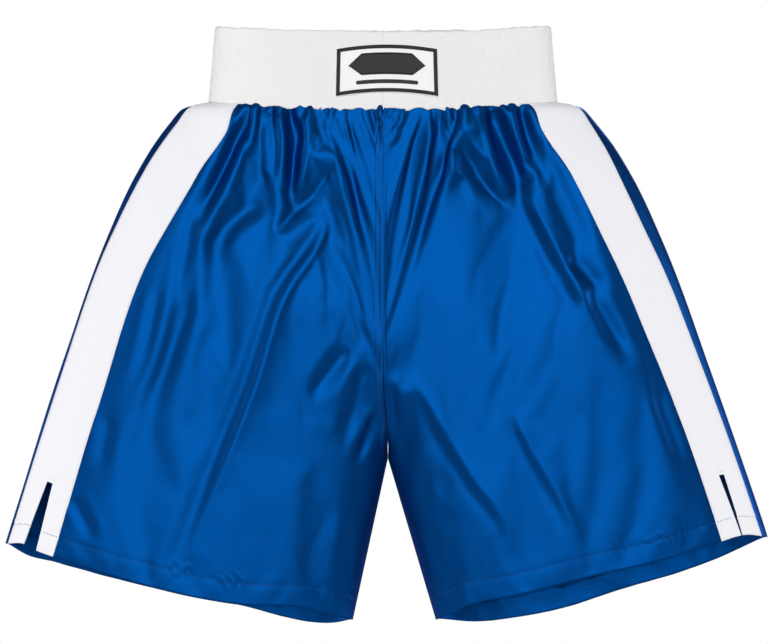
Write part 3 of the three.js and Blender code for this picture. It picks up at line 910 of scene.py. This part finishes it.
# ---------------------------------------------------------------------------------------------------------
# The body
# ---------------------------------------------------------------------------------------------------------
@dataclass
class Panels:
    """The blue front and back panels of one half, and the white stripe between them."""

    half: Half
    rows: int = 250
    front_columns: int = 160
    stripe_columns: int = 36
    back_columns: int = 176
    cloth: float = 0.5
    turned_hem: float = 0.8
    tucked: float = 3.0
    stripe_lift: float = 0.9
    vent_height: float = 68.0
    closed_gap: float = 0.3

    def shares(self) -> Array:
        """The rows' shares down the body, closer together near the waist."""
        return np.linspace(0, 1, self.rows) ** 1.15

    def layers(self, angle: Array, share: Array, lift: float) -> tuple[Array, Array]:
        """The face and the reverse of the cloth; the reverse is thicker over the turned-up hem."""
        face, normals = drape_grid(self.half, angle, share, lift)
        above = BODY.height_over_hem(share)
        thick = self.cloth + self.turned_hem * smooth((DRAPE.hem + 0.5 - above) / 1.2)
        return face, face - normals * (thick * MM)[..., None]

    def front(self) -> bpy.types.Object:
        """The front panel, from the centre seam and inseam to under the stripe's inner edge."""
        share = self.shares()[:, None]
        edge = np.sin(BODY.stripe_angle(self.half, 1, share, self.tucked))
        angle = np.arcsin(edge * np.linspace(0, 1, self.front_columns) ** 1.3)
        return self.panel("front_panel", angle, share)

    def back(self) -> bpy.types.Object:
        """The back panel, from the centre back round the side edge to under the stripe's outer edge."""
        share = self.shares()[:, None]
        edge = BODY.stripe_angle(self.half, 2, share, -self.tucked)
        angle = lerp(math.pi, edge, np.linspace(0, 1, self.back_columns) ** 1.15)
        return self.panel("back_panel", angle, share)

    def panel(self, kind: str, angle: Array, share: Array) -> bpy.types.Object:
        """A blue panel from its grid."""
        share = np.broadcast_to(share, angle.shape)
        face, reverse = self.layers(angle, share, 0.0)
        piece = closed_sheet(f"{kind}_{self.half.name}", face, reverse, flat_lengths(face))
        return self.finish(piece, kind, BLUE_SATIN, "blue_satin")

    def finish(self, piece: bpy.types.Object, kind: str, finish: ClothFinish, slot: str) -> bpy.types.Object:
        """Dresses a panel, hides the frame's nodes it stands for, and bakes its place into its mesh."""
        dress(piece, finish)
        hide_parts(*(f"{kind}_{self.half.name}_{part}" for part in ("hip", "crease", "leg")))
        hang_from_crotch(piece, self.half)
        return piece

    def stripe(self) -> bpy.types.Object:
        """The side stripe, with the vent as a slot that opens down its middle to the hem.

        Its columns run evenly from edge to edge. Two of them stay a hair apart down the middle, and part below
        the vent's top by the width that the vent has there; the faces between them are left out.
        """
        share = self.shares()[:, None]
        inner, outer = (np.sin(BODY.stripe_angle(self.half, edge, share)) for edge in (1, 2))
        above = BODY.height_over_hem(share)
        down = np.clip(1 - above / self.vent_height, 0, 1)
        gap = np.where(down > 0, lerp(self.half.vent_top, self.half.vent_foot, down), self.closed_gap)
        opening = gap / 2 / BODY.row_width(self.half, share)
        middle = (inner + outer) / 2
        side = np.linspace(0, 1, self.stripe_columns // 2)
        front, back = lerp(inner, middle - opening, side), lerp(middle + opening, outer, side)
        across = np.concatenate([front, back], axis=1)
        angle = np.arcsin(np.clip(across, 0, 0.9999))
        share = np.broadcast_to(share, angle.shape)
        face, reverse = self.layers(angle, share, self.stripe_lift)
        holes = np.zeros((face.shape[0] - 1, face.shape[1] - 1), bool)
        holes[(above[:-1, 0] < self.vent_height), self.stripe_columns // 2 - 1] = True
        piece = closed_sheet(f"side_stripe_{self.half.name}", face, reverse, flat_lengths(face), holes)
        return self.finish(piece, "side_stripe", WHITE_SATIN, "white_satin")

    def build(self) -> list[bpy.types.Object]:
        """The three pieces."""
        front, stripe, back = self.front(), self.stripe(), self.back()
        return [front, stripe, back]


# ---------------------------------------------------------------------------------------------------------
# The waistband
# ---------------------------------------------------------------------------------------------------------
@dataclass
class Waistband:
    """The shirred band: one tube of crinkled cloth round five rows of elastic. Millimetres.

    narrowing and flattening are how much its half width and half depth lose for each millimetre of height.
    overlap is how far its foot reaches down over the body.
    """

    columns: int = 1400
    face_rows: int = 46
    lining_rows: int = 12
    wall: float = 5.4
    pleat: float = 2.5
    pleat_height: float = 0.36
    rows_of_elastic: int = 5
    narrowing: float = 6.0 / 70.0
    flattening: float = 3.0 / 70.0
    overlap: float = 1.5
    roll: float = 1.2

    def __post_init__(self) -> None:
        """Reads the band's size from the frame."""
        low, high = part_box("waistband_casing")
        self.top = high.z / MM
        self.bottom = low.z / MM + BODY.front_dip - self.overlap
        self.seam_half_width = high.x / MM
        self.seam_half_depth = high.y / MM

    def oval(self, angle: Array, z: Array, inwards: Array) -> Array:
        """The band's oval: sine across, cosine deep, squared up by the root of 1 + sine squared."""
        rise = z - self.bottom - self.overlap
        a = self.seam_half_width - self.narrowing * rise - inwards
        b = self.seam_half_depth - self.flattening * rise - inwards
        bow = np.sqrt(1 + np.sin(angle) ** 2)
        x, y = a * np.sin(angle), -b * np.cos(angle) * bow
        return np.stack([x, y, z - BODY.dip(angle)], axis=-1)

    def crinkle(self, arc: Array, z: Array) -> Array:
        """Fine upright pleats whose phase slips at each row of elastic, with a faint groove along each row."""
        pitch = (self.top - self.bottom) / self.rows_of_elastic
        row = (self.top - z) / pitch
        slip = 0.9 * value_noise(arc / 4.5, z / 4.0, 31) + 0.8 * value_noise(arc / 13, z / 17, 33)
        pleats = np.sin(2 * np.pi * (arc / self.pleat + slip))
        strength = 0.45 + 0.55 * value_noise(arc / 3.3, z / 3.6, 35)
        pinches = value_noise(arc / 1.9, z / 3.1, 36)
        between = 0.75 + 0.25 * np.abs(np.sin(np.pi * row))
        groove = np.exp(-(((row - np.round(row)) * pitch) ** 2))
        slow = 0.35 * value_noise(arc / 26, row, 37)
        return self.pleat_height * (pleats * strength * between + 0.55 * pinches + slow) - 0.16 * groove

    def build(self) -> bpy.types.Object:
        """The band as one closed tube of cloth: face, rolled top, lining and foot."""
        angle = np.linspace(0, 2 * np.pi, self.columns, endpoint=False)
        ring = self.oval(angle, np.array(-35.0), 0.0)
        step = np.linalg.norm(np.diff(ring, axis=0, append=ring[:1]), axis=-1)
        arc = np.r_[0.0, np.cumsum(step)[:-1]]
        wave = (0.6 * value_noise(arc / 6, arc * 0, 41) + 0.6 * value_noise(arc / 31, arc * 0, 42))[None]
        scallop = np.abs(np.sin(np.pi * (arc / 19 + 1.2 * value_noise(arc / 27, arc * 0, 43))))
        foot = (1.9 * scallop + 0.9 * value_noise(arc / 7, arc * 0, 44) - 1.6)[None]
        face_z = np.linspace(self.bottom, self.top - self.roll, self.face_rows)[:, None]
        edge_down = (face_z - self.bottom) / (self.top - self.bottom)
        face_height = self.crinkle(arc[None], face_z)
        face_height *= smooth((face_z - self.bottom) / 3)
        face_z = face_z + wave * edge_down**6 + foot * (1 - edge_down) ** 8
        face = self.oval(angle[None], face_z, -face_height)
        turn = np.linspace(0, np.pi, 7)[1:-1, None]
        top_pleats = 0.35 * self.crinkle(arc[None], np.full((1, 1), self.top - 2))
        rolled_z = self.top - self.roll + self.roll * np.sin(turn) + wave + top_pleats
        rolled = self.oval(angle[None], rolled_z, self.wall / 2 * (1 - np.cos(turn)) - 0.3 * top_pleats)
        lining_z = np.linspace(self.top - self.roll, self.bottom + 1.0, self.lining_rows)[:, None]
        lining_height = np.minimum(0.6 * self.crinkle(arc[None] + 50, lining_z), 0.3)
        lining_z = lining_z + wave * (lining_z > self.top - 8)
        lining = self.oval(angle[None], lining_z, self.wall - lining_height)
        points = np.concatenate([face, rolled, lining])
        flat = np.stack(np.broadcast_arrays(arc[None], points[..., 2]), axis=-1) * MM
        rows, columns = points.shape[:2]
        quads = wrapped_quads(rows, columns)
        flat_points = points.reshape(-1, 3) * MM
        piece = mesh_object("waistband", flat_points, turned_out(flat_points, quads), flat.reshape(-1, 2))
        dress(piece, CRINKLED)
        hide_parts("waistband_casing", "waistband_lining")
        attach(piece, "seat")
        for row in range(self.rows_of_elastic):
            node = frame["nodes"][f"elastic_row_{row + 1}"]
            node.data.materials.clear()
            node.data.materials.append(ELASTIC.material())
        return piece


# ---------------------------------------------------------------------------------------------------------
# The label
# ---------------------------------------------------------------------------------------------------------
@dataclass
class Label:
    """The woven label on the band's front: white ground, black border, a lozenge and a line. Millimetres."""

    band: Waistband
    border: float = 3.7
    raised: float = 0.45
    bow: float = 4.2

    def __post_init__(self) -> None:
        """Reads the label's places from the frame."""
        low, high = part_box("label_backing")
        self.width, self.height = (high.x - low.x) / MM, (high.z - low.z) / MM
        self.middle = (high.z + low.z) / 2 / MM
        self.aside = (high.x + low.x) / 2 / MM

    def laid(self, u: Array, v: Array, lift: float) -> Array:
        """Points of the label: u across and v up from its middle, on the band's oval, a little uneven."""
        bowed = v + self.bow * (0.55 - (2 * u / self.width) ** 2)
        across = np.arcsin(np.clip((u + self.aside) / (self.band.seam_half_width - 3), -1, 1))
        z = self.middle + bowed + BODY.dip(across)
        uneven = 0.35 * value_noise(u / 17 + 7, v / 15 + 7, 51)
        return self.band.oval(across, z, -(lift + uneven)) * MM

    def sheet(self, name: str, u: Array, v: Array, low: float, high: float, finish: ClothFinish,
              holes: Optional[Array] = None) -> bpy.types.Object:
        """A layer of the label between two heights off the band."""
        u, v = np.broadcast_arrays(u, v)
        flat = np.stack([u, v], axis=-1) * MM
        piece = closed_sheet(name, self.laid(u, v, high), self.laid(u, v, low), flat, holes)
        dress(piece, finish)
        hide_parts(name)
        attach(piece, "seat")
        return piece

    def build(self) -> list[bpy.types.Object]:
        """The ground, the border, the lozenge and the line."""
        a, b, edge = self.width / 2, self.height / 2, self.border
        ground = 1.7
        u = np.linspace(-a, a, 93)[None]
        v = np.linspace(b, -b, 45)[:, None]
        made = [self.sheet("label_backing", u, v, 0.7, ground, LABEL_WHITE)]
        frame_u = np.r_[-a + 0.4, np.linspace(-a + edge, a - edge, 80), a - 0.4][None]
        frame_v = np.r_[b - 0.4, np.linspace(b - edge, -b + edge, 36), -b + 0.4][:, None]
        holes = np.zeros((frame_v.size - 1, frame_u.size - 1), bool)
        holes[1:-1, 1:-1] = True
        top = ground + self.raised
        low = ground - 0.2
        made.append(self.sheet("label_border", frame_u, frame_v, low, top, LABEL_BLACK, holes))
        for name, tip in (("label_lozenge", 12.0), ("label_line", 0.5)):
            first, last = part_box(name)
            half_width, half_height = (last.x - first.x) / 2 / MM, (last.z - first.z) / 2 / MM
            rise = (last.z + first.z) / 2 / MM - self.middle
            u = np.linspace(-half_width + 0.05, half_width - 0.05, 90)[None]
            tall = half_height * np.clip((half_width - np.abs(u)) / tip, 0.02, 1)
            v = rise + tall * np.linspace(1, -1, 9)[:, None]
            made.append(self.sheet(name, u, v, low, top, LABEL_BLACK))
        return made


# ---------------------------------------------------------------------------------------------------------
# Stitches and seams
# ---------------------------------------------------------------------------------------------------------
@dataclass(frozen=True)
class StitchRun:
    """A row of stitches along a line on the cloth. Millimetres."""

    pitch: float = 3.1
    length: float = 2.5
    radius: float = 0.26
    sides: int = 6
    rings: int = 5

    def build(self, name: str, path: Array, normals: Array) -> bpy.types.Object:
        """One small tapered bead for each stitch, whose ends dip into the cloth.

        Args:
            name: the piece's name.
            path: (n, 3) points along the row, in metres.
            normals: (n, 3) the cloth's normals there.

        Returns:
            The stitches as one piece.
        """
        run = np.r_[0.0, np.cumsum(np.linalg.norm(np.diff(path, axis=0), axis=-1))] / MM
        margin = max(self.pitch, self.length) / 2
        starts = np.arange(margin, run[-1] - margin, self.pitch)
        along = np.linspace(-0.5, 0.5, self.rings)
        at = starts[:, None] + along * self.length
        centre = np.stack([np.interp(at, run, path[:, k]) for k in range(3)], axis=-1)
        out = np.stack([np.interp(at, run, normals[:, k]) for k in range(3)], axis=-1)
        tangent = np.gradient(centre, axis=1)
        tangent /= np.linalg.norm(tangent, axis=-1, keepdims=True)
        side = np.cross(tangent, out)
        side /= np.linalg.norm(side, axis=-1, keepdims=True)
        bulge = np.sqrt(np.maximum(0.02, 1 - (2 * along) ** 2))
        centre = centre + out * ((bulge * 0.34 - 0.1) * MM)[None, :, None]
        turn = np.linspace(0, 2 * np.pi, self.sides, endpoint=False)
        radius = self.radius * bulge * MM
        ring = np.cos(turn)[:, None] * side[:, :, None] + np.sin(turn)[:, None] * out[:, :, None]
        points = centre[:, :, None] + ring * radius[None, :, None, None]
        stitches, rings, sides = points.shape[:3]
        number = np.arange(points[..., 0].size).reshape(stitches, rings, sides)
        turned = np.roll(number, -1, axis=2)
        walls = np.stack([number[:, :-1], turned[:, :-1], turned[:, 1:], number[:, 1:]], axis=-1)
        ends = []
        for k, order in ((0, (0, 1, 2, 3, 4, 5)), (rings - 1, (5, 4, 3, 2, 1, 0))):
            cap = number[:, k][:, list(order)]
            ends += [cap[:, [3, 2, 1, 0]], cap[:, [5, 4, 3, 0]]]
        faces = np.concatenate([walls.reshape(-1, 4), *ends])
        flat = np.stack(np.broadcast_arrays(at[:, :, None], turn[None, None] * self.radius), axis=-1) * MM
        points = points.reshape(-1, 3)
        return mesh_object(name, points, turned_out(points, faces), flat.reshape(-1, 2))


def cloth_line(half: Half, angle: Array, share: Array, lift: float) -> tuple[Array, Array]:
    """Points and normals along a line on the draped cloth, from a narrow grid whose middle is the line."""
    angle, share = np.broadcast_arrays(np.asarray(angle, float), np.asarray(share, float))
    aside = np.array([-1e-3, 0.0, 1e-3])[:, None]
    if np.ptp(share) > np.ptp(angle) / math.pi:
        angle, share = angle[None] + aside, np.broadcast_to(share, (3, share.size))
    else:
        angle, share = np.broadcast_to(angle, (3, angle.size)), share[None] + aside
    points, normals = drape_grid(half, angle, share, lift)
    return points[1], normals[1]


@dataclass
class Sewing:
    """The stitches, bar tack and inseam allowance of one leg. Millimetres; row is a row's width at the vent."""

    half: Half
    panels: Panels
    row: float = 330.0
    run: StitchRun = field(default_factory=StitchRun)

    def hem(self) -> list[bpy.types.Object]:
        """The hem's stitches: a row round the front and the back panel, and one on each side of the vent."""
        half, name = self.half, self.half.name
        share = BODY.above_hem(DRAPE.hem)
        inner, middle, outer = (
            float(BODY.stripe_angle(half, 1, np.array(share))),
            float(BODY.stripe_middle(half, np.array(share))),
            float(BODY.stripe_angle(half, 2, np.array(share))),
        )
        slot = 0.5 * lerp(half.vent_top, half.vent_foot, 0.7) / self.row / math.cos(middle) + 0.005
        made = []
        for kind, start, stop, count, lift in (
            ("hem_thread_front", 0.02, inner - 0.01, 500, 0.0),
            ("hem_thread_back", outer + 0.02, math.pi - 0.02, 700, 0.0),
            ("stripe_thread_front", inner + 0.004, middle - slot, 60, 0.95),
            ("stripe_thread_back", middle + slot, outer - 0.004, 60, 0.95),
        ):
            path, normals = cloth_line(half, np.linspace(start, stop, count), share, lift)
            piece = self.run.build(f"{kind}_{name}", path, normals)
            dress(piece, BLUE_THREAD)
            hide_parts(f"{kind}_{name}")
            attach(piece, f"{name}_leg")
            made.append(piece)
        return made

    def bar_tack(self) -> bpy.types.Object:
        """A bar of close stitches across the top of the vent."""
        share = BODY.above_hem(self.panels.vent_height + 1.5)
        middle = float(BODY.stripe_middle(self.half, np.array(share)))
        reach = 3.6 / self.row / math.cos(middle)
        path, normals = cloth_line(self.half, np.linspace(middle - reach, middle + reach, 60), share, 1.0)
        close = StitchRun(pitch=0.62, length=1.3, radius=0.3)
        name = f"vent_bartack_{self.half.name}"
        piece = dress(close.build(name, path, normals), WHITE_THREAD)
        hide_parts(name)
        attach(piece, f"{self.half.name}_leg")
        return piece

    def stripe_edges(self) -> list[bpy.types.Object]:
        """A row of stitches down each edge of the stripe, from the waist to the hem's row."""
        made = []
        share = np.linspace(0.012, BODY.above_hem(DRAPE.hem + 2), 900)
        for edge, shift, kind in ((1, 1.6, "inner"), (2, -1.6, "outer")):
            angle = BODY.stripe_angle(self.half, edge, share, shift)
            path, normals = cloth_line(self.half, angle, share, 0.9)
            piece = self.run.build(f"stripe_{kind}_edge_stitches_{self.half.name}", path, normals)
            dress(piece, WHITE_THREAD)
            hang_from_crotch(piece, self.half)
            made.append(piece)
        return made

    def inseam(self) -> bpy.types.Object:
        """The inseam's overlocked allowance, a strip inside the leg along its inner edge."""
        share = np.linspace(BODY.crotch_share + 0.02, 0.985, 60)[:, None]
        x, z = BODY.inner(self.half, share)
        inside = np.array([[1.2, 3.0, 5.0, 7.0, 9.0]])
        ripple = 0.35 * np.sin(share * 260) * (inside / 9)
        place = np.stack(np.broadcast_arrays(x + self.half.sign * inside, ripple, z), axis=-1)
        shift = np.array([0, 0.4, 0])
        name = f"inseam_{self.half.name}"
        piece = closed_sheet(name, (place - shift) * MM, (place + shift) * MM, flat_lengths(place * MM))
        dress(piece, BLUE_THREAD)
        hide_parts(name)
        hang_from_crotch(piece, self.half)
        return piece

    def build(self) -> list[bpy.types.Object]:
        """All of it."""
        return [*self.hem(), self.bar_tack(), *self.stripe_edges(), self.inseam()]


@dataclass
class CentreSeam:
    """The seam that joins the halves, front or back: allowances inside, two rows of stitches outside."""

    back: bool
    allowance: float = 6.0

    def faced(self, angle: Array) -> Array:
        """An angle from the centre front, or the same angle from the centre back."""
        return math.pi - angle if self.back else angle

    def build(self) -> list[bpy.types.Object]:
        """The allowance strip and the two rows of stitches."""
        end = "back" if self.back else "front"
        share = np.linspace(0.01, 0.655, 700)
        sides = []
        made = []
        for half in (RIGHT, LEFT):
            across = np.linspace(0.2, self.allowance, 5)[:: half.sign]
            angle = self.faced(np.arcsin(across[None] / BODY.row_width(half, share)[:, None]))
            sides.append(drape_grid(half, angle, np.broadcast_to(share[:, None], angle.shape), -0.9))
        for row, place in (("near", 1.3), ("far", 5.0)):
            angle = self.faced(np.arcsin(place / BODY.row_width(RIGHT, share)))
            path, out = cloth_line(RIGHT, angle, share, 0.0)
            stitches = StitchRun().build(f"centre_{end}_stitches_{row}", path, out)
            dress(stitches, BLUE_THREAD)
            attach(stitches, "seat")
            made.append(stitches)
        face = np.concatenate([s[0] for s in sides], axis=1)
        normals = np.concatenate([s[1] for s in sides], axis=1)
        name = f"centre_{end}_seam"
        piece = closed_sheet(name, face, face - normals * 0.6 * MM, flat_lengths(face))
        dress(piece, BLUE_THREAD)
        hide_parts(name)
        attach(piece, "seat")
        return [piece, *made]


@dataclass
class CareLabel:
    """The blank care label that hangs inside the back, curling a little."""

    curl: float = 1.2

    def build(self) -> bpy.types.Object:
        """A tape as wide and long as its node, whose foot curls to one side."""
        low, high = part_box("care_label")
        u, v = np.meshgrid(np.linspace(-1, 1, 16), np.linspace(0, 1, 24))
        x = (high.x + low.x) / 2 + (high.x - low.x) / 2 * u
        z = lerp(high.z, low.z, v)
        y = (high.y + low.y) / 2 - self.curl * MM * (v**2 * (0.4 + 0.6 * u**2))
        face = np.stack([x, y, z], axis=-1)
        half_thick = np.array([0, 0.0001, 0])
        piece = closed_sheet("care_label_tape", face - half_thick, face + half_thick, flat_lengths(face))
        dress(piece, TAPE)
        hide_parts("care_label")
        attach(piece, "care_label")
        return piece


# ---------------------------------------------------------------------------------------------------------
# The studio
# ---------------------------------------------------------------------------------------------------------
@dataclass(frozen=True)
class SoftBox:
    """A square studio lamp that faces the shorts. Metres and watts."""

    name: str
    place: tuple[float, float, float]
    size: float
    watts: float

    def build(self, target: Array) -> None:
        """Hangs the lamp and turns it to the target."""
        lamp = bpy.data.lights.new(self.name, "AREA")
        lamp.shape, lamp.size, lamp.energy = "SQUARE", self.size, self.watts
        holder = bpy.data.objects.new(self.name, lamp)
        holder.location = self.place
        away = np.array(self.place) - target
        flat = math.hypot(away[0], away[1])
        holder.rotation_euler = (math.atan2(flat, away[2]), 0.0, math.atan2(away[0], -away[1]))
        bpy.context.scene.collection.objects.link(holder)


@dataclass(frozen=True)
class Studio:
    """A pale floor, a white surround, soft lamps, and a long lens square to the front."""

    floor_drop: float = 0.20
    floor_radius: float = 1.0
    lens: float = 150.0
    sensor: float = 36.0
    view_width: float = 0.7142
    view_middle: tuple[float, float] = (0.0009, -0.2744)
    surround: float = 0.15
    lamps: tuple[SoftBox, ...] = (
        SoftBox("key", (-0.1, -3.3, 0.5), 3.4, 117),
        SoftBox("fill", (-1.8, -2.2, 0.1), 1.2, 5),
        SoftBox("left_rim", (-2.9, 0.2, -0.25), 1.5, 34),
        SoftBox("right_rim", (2.9, 0.2, -0.25), 1.5, 36),
        SoftBox("back", (0.4, 2.4, 0.9), 1.4, 30),
    )

    def floor(self, height: float) -> None:
        """A pale disc under the shorts."""
        turn = np.linspace(0, 2 * np.pi, 96, endpoint=False)
        rim = np.stack([np.cos(turn), np.sin(turn), 0 * turn], axis=-1) * self.floor_radius
        points = [(0.0, 0.0, height), *((x, y, height) for x, y, _ in rim)]
        faces = [(0, i + 1, (i + 1) % 96 + 1) for i in range(96)]
        mesh = bpy.data.meshes.new("floor")
        mesh.from_pydata(points, [], faces)
        disc = bpy.data.objects.new("floor", mesh)
        bpy.context.scene.collection.objects.link(disc)
        paint = bpy.data.materials.new("pale_floor")
        paint.use_nodes = True
        shader = paint.node_tree.nodes["Principled BSDF"]
        shader.inputs["Base Color"].default_value = (0.86, 0.86, 0.86, 1)
        shader.inputs["Roughness"].default_value = 0.8
        disc.data.materials.append(paint)

    def surround_light(self) -> None:
        """White where the camera looks, softer where it lights the shorts, so the folds keep their depth."""
        world = bpy.data.worlds.new("surround")
        world.use_nodes = True
        world.node_tree.nodes.clear()
        tree = Tree(world.node_tree)
        seen = tree.add("ShaderNodeBackground", {"Color": (1, 1, 1, 1), "Strength": 1.0}).outputs[0]
        lit = tree.add("ShaderNodeBackground", {"Color": (1, 1, 1, 1), "Strength": self.surround}).outputs[0]
        camera_ray = tree.add("ShaderNodeLightPath").outputs["Is Camera Ray"]
        both = tree.add("ShaderNodeMixShader", {0: camera_ray, 1: lit, 2: seen}).outputs[0]
        tree.add("ShaderNodeOutputWorld", {"Surface": both})
        bpy.context.scene.world = world

    def build(self) -> None:
        """Everything round the shorts."""
        low, high = (np.array(corner) for corner in CAD_BOX)
        middle = (low + high) / 2
        self.floor(low[2] - self.floor_drop)
        self.surround_light()
        for lamp in self.lamps:
            lamp.build(middle)
        camera = bpy.data.cameras.new("camera")
        camera.lens, camera.sensor_width = self.lens, self.sensor
        holder = bpy.data.objects.new("camera", camera)
        distance = self.view_width * self.lens / self.sensor
        holder.location = (self.view_middle[0], -distance, self.view_middle[1])
        holder.rotation_euler = (math.pi / 2, 0.0, 0.0)
        bpy.context.scene.collection.objects.link(holder)
        bpy.context.scene.camera = holder
        bpy.context.scene.view_settings.view_transform = "Standard"


def main() -> None:
    """Settles the cloth, builds the shorts from the waist down, then the studio."""
    logging.basicConfig(level=logging.INFO, format="%(message)s")
    for half in HALVES:
        SETTLING.settle(half)
    band = Waistband()
    made = [band.build(), *Label(band).build()]
    for half in HALVES:
        panels = Panels(half)
        made += [*panels.build(), *Sewing(half, panels).build()]
    for back in (False, True):
        made += CentreSeam(back).build()
    made.append(CareLabel().build())
    for piece in made:
        LOG.info("%s: %d faces", piece.name, len(piece.data.polygons))
    Studio().build()


if __name__ == "__main__":
    main()
